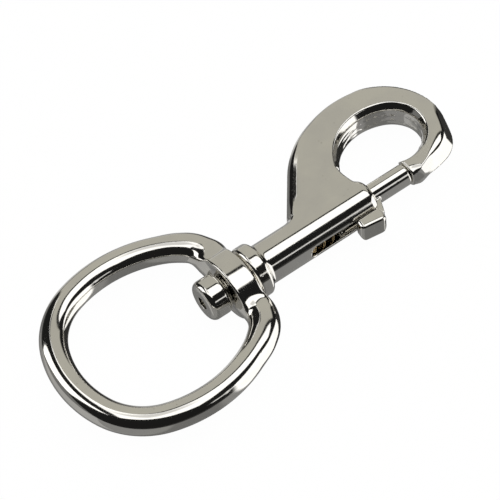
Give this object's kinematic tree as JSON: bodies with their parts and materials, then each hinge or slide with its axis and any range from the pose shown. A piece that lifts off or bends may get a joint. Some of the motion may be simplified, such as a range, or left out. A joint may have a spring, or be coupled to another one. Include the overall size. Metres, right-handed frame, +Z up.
{
  "type": "swivel snap hook",
  "caption": "Swivel snap hook: a round strap eye turns on a headed stud behind a slotted barrel, whose sprung thumb bolt closes a flat curved hook.",
  "frame": {"origin": "middle of the part seen from above, on the plane that it lies on", "axes": "+X along the swivel axis from the eye to the hook, +Y towards the side where the hook bulges, +Z up, square to the flat hook"},
  "size_m": [0.0846, 0.038, 0.0098],
  "materials": {
    "plated_casting": "polished nickel plate over a cast body, warm grey, smooth with faint cast waviness",
    "plated_turned": "polished nickel plate over a turned or cast pin, bright",
    "spring_wire": "bare drawn spring wire, slightly golden"
  },
  "bodies": {
    "body": {"snap_body": "plated_casting", "swivel_stud": "plated_turned", "return_spring": "spring_wire"},
    "eye": {"swivel_eye": "plated_casting"},
    "bolt": {"snap_bolt": "plated_turned"}
  },
  "joints": [
    {"name": "eye_swivel", "type": "hinge", "parent": "body", "child": "eye", "pos_m": [-0.00705, -0.00041, 0.0049], "axis": [1, 0, 0], "continuous": true},
    {"name": "bolt_slide", "type": "slide", "parent": "body", "child": "bolt", "axis": [-1, 0, 0], "range_m": [0, 0.0086], "stiffness_N_per_m": 400, "springref_m": -0.006, "deforming": ["return_spring"]}
  ]
}
